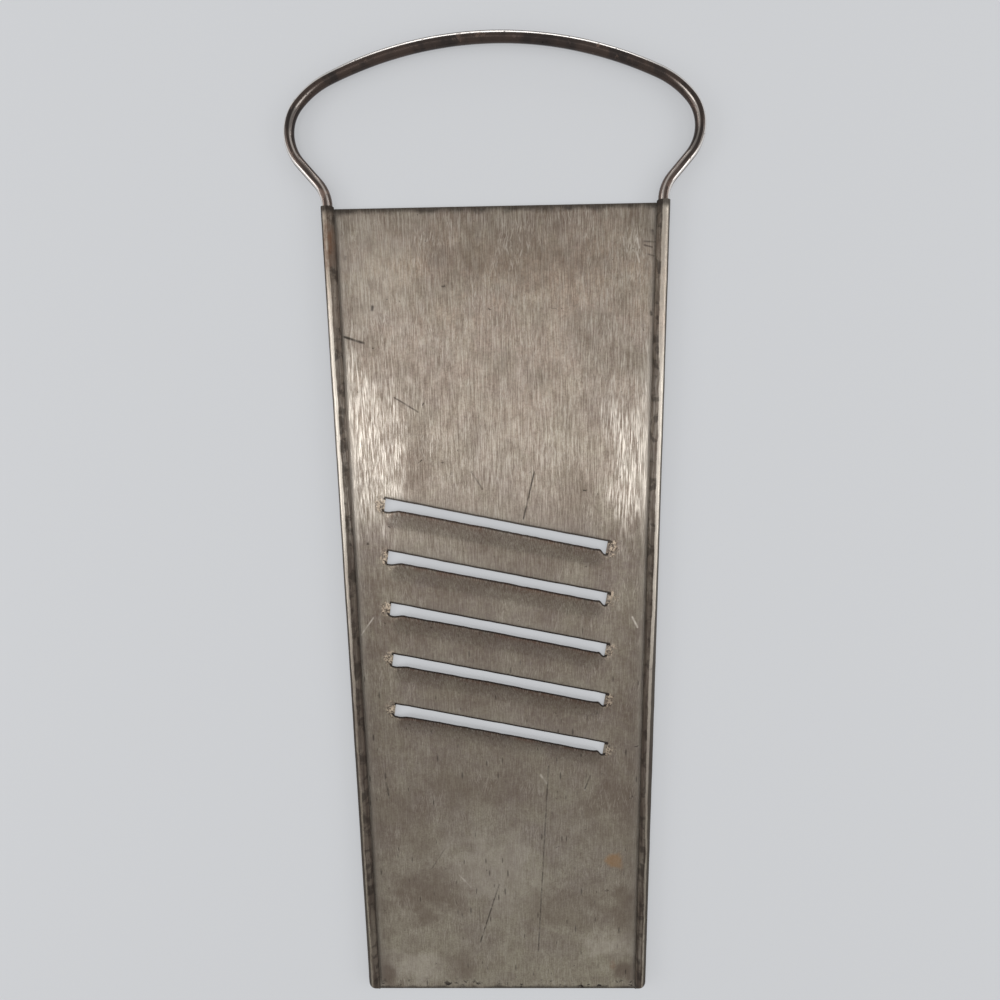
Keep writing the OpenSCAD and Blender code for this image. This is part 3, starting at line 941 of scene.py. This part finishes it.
# %% Ground, knives and puckers
def height_tones(spot, height):
    """The ground tones from the foot to the top, with borders that noise stirs."""
    stirred = height + (spot.noise(22.0, 5.0, 0.6) - 0.5) * 0.035
    span = {"Value": stirred, "From Min": FOOT_Y * MM, "From Max": (FOOT_Y + PLATE_LEN) * MM}
    tones = put(spot.tree, "ValToRGB", {0: put(spot.tree, "MapRange", span)})
    scale = tones.socket.node.color_ramp.elements
    scale[1].position, scale[1].color = TONES[-1][0], (*TONES[-1][1], 1)
    scale[0].position, scale[0].color = TONES[0][0], (*TONES[0][1], 1)
    for position, colour in TONES[1:-1]:
        scale.new(position).color = (*colour, 1)
    return tones


def ground_tone(spot, strokes, shade):
    """Tones stirred by clouds, streaked along the sheet, with a painted sheen on both sides of the
    upper sheet and a fine grain.
    """
    height = spot.axis("Y")
    tin = height_tones(spot, height)
    for size, share, tint in CLOUDS:
        tin = mixed(patch(spot, size, 0.53, 0.12) * share, tin, tint)
    brushed = height.between(-0.02, 0.06, 0.10, 0.30)
    tin = mixed(shade * brushed, tin, TIN_BROWN)
    # Painted sheen: bright strokes in ovals on both sides of the upper sheet.
    rubbed_and_sheen = all_stains(spot, PAINTED_SHEENS, (1, 0.4, 1))
    tin = mixed(strokes * (rubbed_and_sheen * 0.71 + brushed * 0.6), tin, TIN_BRIGHT)
    grain = apply_effect(streaks, spot, **GRAIN_LINES)["Strokes"]
    gritty = height.between(0.0, 0.05, 0.5, 1.0)
    tin = mixed(grain.between(0.42, 0.0) * gritty * 0.28, tin, TIN_BROWN)
    return mixed(grain.between(0.5, 1.0) * gritty * 0.16, tin, TIN_BRIGHT), rubbed_and_sheen


def knife_tone(spot, tin, strokes):
    """Painted shade on the lip slopes and below each cutting edge, a reddish fringe with grinding
    strokes, and a painted highlight over each slot.
    """
    grind_and_shade = spot.mark("grind_and_shade")
    # Painted shade on the lip slopes.
    tin = mixed(spot.mark("lip") * 0.26, tin, TIN_BROWN)
    # Painted highlight over each slot.
    tin = mixed(spot.mark("lit") * 0.14, tin, TIN_BRIGHT)
    # Painted shade below each cutting edge, stronger on the lower knives.
    tin = mixed(grind_and_shade * spot.axis("Y").between(0.01, -0.06, 0.25, 0.9), tin, GRIME_AND_SHADE)
    near = grind_and_shade * grind_and_shade
    tin = mixed(near * patch(spot, 120.0, 0.48, 0.16) * 0.85, tin, FRINGE)
    return mixed(near * strokes.between(0.55, 0.85) * 0.35, tin, TIN_BRIGHT)


def pucker_tone(spot, tin):
    """Painted glints on the puckers, stronger higher up the sheet, and painted shade in brown cracks
    between them.
    """
    glints = patch(spot, 1300.0, 0.49, 0.06)
    puckered = spot.mark("pucker").between(0.03, 0.3)
    lit_share = spot.axis("Y").between(-0.07, 0.01, 0.45, 0.75)
    # Painted glints on the puckers, then painted shade between them.
    tin = mixed(puckered * glints * lit_share, tin, PUCKER_GLINT)
    return mixed(puckered * (1.0 - glints) * 0.62, tin, FLANK_BROWN)


# %% Rolls and dark marks
# Stretches of the rolls, the folds and the sheet, each as the two places between which it fades in,
# in metres along the sheet.
ROLL_HIGH = (-0.14, 0.08)
RIGHT_TOP, LEFT_TOP, LEFT_LOW = (0.068, 0.09), (0.085, 0.11), (0.03, 0.0)
RIGHT_MID, RIGHT_MID_FOOT = (0.005, -0.045), (-0.115, -0.085)
TOP_FOLD, FOOT_FOLD = (0.1249, 0.1272), (-0.1760, -0.1776)
# The band of the painted sheen on the upper sheet.
SHEEN_BAND, SHEEN_BAND_TOP = (0.01, 0.03), (0.085, 0.07)
LOWER_SIDES = (-0.03, -0.12)


def roll_masks(across, height, sway, roll):
    """Masks of a roll: whole, outside, painted highlight, flank, its dirt-and-shade brown, and painted
    shade under it.
    """
    high = height.between(*ROLL_HIGH)
    right, left = across.between(0.0, 0.02), across.between(0.0, -0.02)
    right_top = right * height.between(*RIGHT_TOP)
    right_mid = right * height.between(*RIGHT_MID) * height.between(*RIGHT_MID_FOOT)
    left_top, left_low = left * height.between(*LEFT_TOP), left * height.between(*LEFT_LOW)
    # Painted shade on the outer underside of each roll.
    under = (roll + sway * 0.05 + high * 0.06 - right_mid * 0.05).between(0.53, 0.49)
    inner = roll - high * 0.015 + sway * 0.10 - right_mid * 0.055 - right_top * 0.06
    flank = inner.between(0.55, 0.585)
    on_roll = roll.between(0.02, 0.06)
    outside = on_roll.less(flank) * (1.0 - left_top * 0.9)
    # The painted highlight on the outside of a roll, stronger higher up the sheet.
    roll_highlight_level = (high * 0.70 + 0.05 - right_top * 0.45).less(left_low * 0.2)
    return on_roll, outside, outside * roll_highlight_level, flank, flank * (0.97 - high * 0.19), under * on_roll


def darkened_folds_and_creases(spot, height, sway, sheen_band):
    """Painted shade along both folds, and darkening in the crease beside each roll."""
    crease = (spot.mark("crease") + sway * 1.5 - sheen_band * 0.3).between(0.45, 0.95)
    swayed = height + sway * 0.005
    # Painted shade along the top and foot folds.
    folds = swayed.between(*TOP_FOLD) | swayed.between(*FOOT_FOLD)
    return folds * 0.82 | crease * 0.45


def roll_tone(spot, tin, shade):
    """Painted highlight on a roll's outside, its flank brown with dirt and painted shade and blotched,
    a painted light line beside it, and darker lower sides.
    """
    across, height = spot.axis("X"), spot.axis("Y")
    sway = spot.noise(130.0, 5.0, 0.65) - 0.5
    masks = roll_masks(across, height, sway, spot.mark("roll"))
    on_roll, outside, painted_roll_highlight, flank, flank_dirt_and_shade, painted_underside_shade = masks
    # Painted highlight along the outside of each roll.
    tin = mixed(painted_roll_highlight, tin, TIN_BRIGHT)
    # Dirt and painted shade both brown the flank of each roll.
    tin = mixed(flank_dirt_and_shade * shade.between(0.1, 0.9, 1.0, 0.66), tin, FLANK_BROWN)
    tin = mixed(flank * patch(spot, 210.0, 0.54, 0.06) * 0.62, tin, GRIME_AND_SHADE)
    # The painted light beside each roll is stronger in the band of the painted sheen, where the crease
    # is darkened less.
    sheen_band = height.between(*SHEEN_BAND) * height.between(*SHEEN_BAND_TOP)
    tin = mixed(spot.mark("beside") * (sheen_band * 0.5 + 0.38), tin, TIN_BRIGHT)
    side = (across.reckon("ABSOLUTE", across) + sway * 0.02).between(0.042, 0.056)
    tin = mixed(side * height.between(*LOWER_SIDES) * (1.0 - on_roll) * 0.30, tin, TIN_BROWN)
    return tin, darkened_folds_and_creases(spot, height, sway, sheen_band) | painted_underside_shade * 0.85, flank, outside


def dark_marks(spot, in_front):
    """Dashes down the lower sheet, loose spots, specks at the foot, painted shade along the cut edges,
    and scratches.
    """
    height = spot.axis("Y")
    long_way = spot.vector("MULTIPLY", (1, 0.22, 1))
    dashes = apply_effect(pits, long_way, Scale=520.0, Size=0.21, Level=0.45)["Mask"]
    found = dashes * height.between(0.03, -0.06, 0.1, 0.65) | patch(spot, 330.0, 0.70, 0.03) * 0.7
    found = found | patch(spot, 420.0, 0.60, 0.05) * height.between(-0.1715, -0.1765)
    # Painted shade along the cut edges of the slots.
    found = found | spot.mark("cut").between(0.28, 0.62) * height.between(0.03, -0.03, 0.82, 0.98)
    return found | all_scratches(spot, SCRATCHES) * in_front


# %% The tin material
RELIEF = {"Strength": 0.35, "Distance": 0.00012}
TIN_GLOSS = 0.12


def join_up(shader, colour, rough, metal, relief, depth):
    """Leads colour, roughness, metal and a bump from the relief to the shader."""
    bump = put(colour.tree, "Bump", {"Height": relief, **depth})
    inputs = {"Base Color": colour, "Roughness": rough, "Metallic": metal, "Normal": bump}
    for socket, value in inputs.items():
        value.lead_to(shader.inputs[socket])


def worn_tin():
    """All layers of the tin, with roughness, metal and relief from the same masks."""
    made, shader, spot = new_material("worn_tin")
    rubbing = apply_effect(streaks, spot, **RUBBED_LINES)
    strokes, shade = rubbing["Strokes"], rubbing["Shade"]
    in_front = spot.mark("front")
    tin, rubbed_and_sheen = ground_tone(spot, strokes, shade)
    tin = mixed(all_stains(spot, PALE_STAINS), tin, TIN_BRIGHT)
    tin = mixed(all_stains(spot, DARK_STAINS), tin, TIN_BROWN)
    tin = mixed(all_stains(spot, TAN_SPOTS) * in_front, tin, TAN)
    tin = mixed(stray_strokes(spot) * spot.axis("Y").between(0.01, 0.05, 0.16, 0.31), tin, TIN_BRIGHT)
    tin = pucker_tone(spot, knife_tone(spot, tin, strokes))
    tin, darkened_edges, flank, outside = roll_tone(spot, tin, shade)

    marked = dark_marks(spot, in_front)
    dark = marked | darkened_edges
    flecked = spot.noise(420.0, 4.0).between(0.4, 0.6, 0.4, 1.0)
    rusty = all_stains(spot, RUST_SPOTS) * flecked * (1.0 - outside)
    bright = all_scratches(spot, BRIGHT_SCRATCHES) * in_front
    colour = mixed(rusty, mixed(bright, tin, TIN_BRIGHT), RUST)
    dull = dark | rusty | flank * 0.7
    rough = 0.50 - strokes * 0.12 - rubbed_and_sheen * 0.08 + dull * 0.25
    # Dark marks, and the painted shade at folds, roll undersides and cut edges, go to the darkest
    # brown.
    colour = mixed(dark, colour, GRIME_AND_SHADE)
    shader.inputs["Specular IOR Level"].default_value = TIN_GLOSS
    join_up(shader, colour, rough, 0.88 - dull * 0.75, strokes * 0.35 - marked, RELIEF)
    return made


plate.data.materials.append(worn_tin())
print("tin laid on", plate.name)

# %% [markdown]
# ## Dark wire
# The handle is bare steel wire that has gone brown-grey. A painted highlight runs as a thin bright
# line along the outer side of the bow, a second painted highlight line runs inside its two upright
# sides, and faint rubbed strokes lie along its outer side. It is paler where the bow goes down into
# the rolls, and small patches of rust and pits are scattered along it.

# %% The wire material
STEEL_DARK = (0.046, 0.038, 0.035, 1)
STEEL_BROWN = (0.078, 0.057, 0.048, 1)
STEEL_PINK = (0.20, 0.15, 0.128, 1)
STEEL_RUBBED_AND_HIGHLIGHT = (0.52, 0.47, 0.43, 1)
RIM_HIGHLIGHT = (0.92, 0.88, 0.84, 1)
WIRE_RELIEF = {"Strength": 0.3, "Distance": 0.00012}


def rubbed_strokes_and_highlight(rubbed_and_sheen, outer, upright):
    """Faint strokes of rubbing outside, and a painted highlight line inside its two upright sides."""
    worn = outer.between(0.1, 0.9) * rubbed_and_sheen["Strokes"] * 0.3
    # A painted highlight line inside the two upright sides.
    inner_line = outer.reckon("ABSOLUTE", outer + 0.45).between(0.24, 0.06)
    inner_line = inner_line * upright.between(0.45, 0.85)
    return worn | inner_line * rubbed_and_sheen["Shade"].between(0.2, 0.8, 0.35, 0.9)


def painted_rim_highlight(outer, upright):
    """The painted highlight: a thin bright line that follows the outer side of the bow."""
    turned = outer + (1.0 - upright) * 0.36
    rim = turned.between(0.52, 0.66) * turned.between(0.98, 0.88)
    return rim * upright.between(0.2, 0.8, 0.6, 0.9)


def dark_wire():
    """Brown-grey steel with strokes of rubbing, painted highlight lines and patches of rust."""
    made, shader, spot = new_material("dark_wire")
    outer, upright = spot.mark("outer"), spot.mark("upright")
    course = put(spot.tree, "CombineXYZ", {
        "X": spot.mark("around"), "Y": spot.mark("along") * 0.02, "Z": outer})
    rubbed_and_sheen = apply_effect(streaks, course, Across=5.0, Along=14.0)
    brown, rusty = patch(spot, 130.0, 0.5, 0.12), patch(spot, 240.0, 0.64, 0.05)
    steel = mixed(brown, STEEL_DARK, STEEL_BROWN)
    steel = mixed(spot.mark("bow").between(0.9, 0.1) * rubbed_and_sheen["Shade"] * 0.8, steel, STEEL_PINK)
    steel = mixed(rubbed_strokes_and_highlight(rubbed_and_sheen, outer, upright), steel, STEEL_RUBBED_AND_HIGHLIGHT)
    # Painted highlight along the outer side of the bow.
    steel = mixed(painted_rim_highlight(outer, upright), steel, RIM_HIGHLIGHT)
    pitted = apply_effect(pits, spot, Scale=700.0, Size=0.22, Level=0.7)["Mask"]
    colour = mixed(pitted * 0.6, mixed(rusty * 0.35, steel, RUST), GRIME_AND_SHADE)
    rough = brown * 0.08 + 0.17 + rusty * 0.35
    join_up(shader, colour, rough, 0.9 - rusty * 0.7, rubbed_and_sheen["Shade"] * 0.4 - pitted, WIRE_RELIEF)
    return made


wire.data.materials.append(dark_wire())
print("steel laid on", wire.name)

# %% [markdown]
# ## Floor, light and camera
# The cutter lies on its back on a plain pale floor, and the camera looks down on it from close over
# the sheet, which is how the sheet is seen when it leans against a wall. Soft boxes on both sides
# draw bright lines along the rolls over the highlight painted there, one at the top catches the bow,
# and two overhead lay a broad sheen on both sides of the upper sheet over the painted sheen. The
# floor glows only for the camera and in reflections, so the metal shows it and it puts no light on the
# object.

# %% The floor
FLOOR_HALF = 3.0
FLOOR_COLOUR = (0.60, 0.612, 0.632, 1)
FLOOR_ROUGH = 0.85
FLOOR_GAP = 0.00005
SEEN_GLOW = 0.55
corners = np.array([[-1, -1, 0], [1, -1, 0], [1, 1, 0], [-1, 1, 0]]) * FLOOR_HALF
floor_mesh = bpy.data.meshes.new("pale_floor")
floor_mesh.from_pydata(corners.tolist(), [], [(0, 1, 2, 3)])
floor = bpy.data.objects.new("pale_floor", floor_mesh)
bpy.context.scene.collection.objects.link(floor)
floor.location.z = cad_low.z - FLOOR_GAP
floor_paint, floor_shader = new_material("pale_floor")[:2]
floor_base = [part * (1 - SEEN_GLOW) for part in FLOOR_COLOUR[:3]] + [1]
floor_shader.inputs["Base Color"].default_value = floor_base
floor_shader.inputs["Roughness"].default_value = FLOOR_ROUGH
floor_shader.inputs["Emission Color"].default_value = FLOOR_COLOUR
seen = 0.0
for ray in ("Camera", "Glossy", "Transmission"):
    seen = seen | put(floor_paint.node_tree, "LightPath", output=f"Is {ray} Ray")
(seen * SEEN_GLOW).lead_to(floor_shader.inputs["Emission Strength"])
floor_mesh.materials.append(floor_paint)
print("floor at", round(floor.location.z / MM, 2), "mm")

# %% Soft light
WORLD_LEVEL = 0.58
SOFT_BOXES = {
    "left_sheen": ((-0.26, -0.01, 0.85), (0.24, 0.30), 0.70),
    "right_sheen": ((0.24, -0.08, 0.85), (0.20, 0.30), 0.55),
    "left_box": ((-0.75, 0.05, 0.38), (0.9, 0.3), 2.2),
    "right_box": ((0.75, 0.05, 0.38), (0.9, 0.3), 2.0),
    "bow_box": ((0.0, 1.1, 0.2), (0.8, 0.3), 2.0)}

world = bpy.data.worlds.new("soft_room")
world.use_nodes = True
room = world.node_tree.nodes["Background"].inputs
room["Color"].default_value = (1.0, 1.0, 1.0, 1)
room["Strength"].default_value = WORLD_LEVEL
bpy.context.scene.world = world
for name, (place_at, size, watts) in SOFT_BOXES.items():
    lamp = bpy.data.lights.new(name, "AREA")
    lamp.shape = "RECTANGLE"
    lamp.size, lamp.size_y = size
    lamp.energy = watts
    soft_box = bpy.data.objects.new(name, lamp)
    soft_box.location = place_at
    soft_box.rotation_mode = "QUATERNION"
    soft_box.rotation_quaternion = (Vector((0, 0, 0)) - Vector(place_at)).to_track_quat("-Z", "Y")
    bpy.context.scene.collection.objects.link(soft_box)
print("soft boxes:", sorted(SOFT_BOXES))

# %% The camera
CAMERA_AT = Vector((0.00366, 0.0669, 0.21214))
CAMERA_AIM = Vector((0.00021, 0.02936, 0.0009))
CAMERA_LEAN = math.radians(0.88)
LENS_MM, SENSOR_MM = 21.6, 36.0
NEAREST = 0.005

lens = bpy.data.cameras.new("camera")
lens.lens = LENS_MM
lens.sensor_width = SENSOR_MM
lens.clip_start = NEAREST
camera = bpy.data.objects.new("camera", lens)
forward = (CAMERA_AIM - CAMERA_AT).normalized()
rightward = forward.cross(Vector((math.sin(CAMERA_LEAN), math.cos(CAMERA_LEAN), 0))).normalized()
upward = rightward.cross(forward)
turned = Matrix((rightward, upward, -forward)).transposed().to_4x4()
camera.matrix_world = Matrix.Translation(CAMERA_AT) @ turned
bpy.context.scene.collection.objects.link(camera)
bpy.context.scene.camera = camera
bpy.context.scene.view_settings.view_transform = "Standard"
print("camera", round(CAMERA_AT.z / MM), "mm above the floor")

# %% Final update of the scene
bpy.context.view_layer.update()
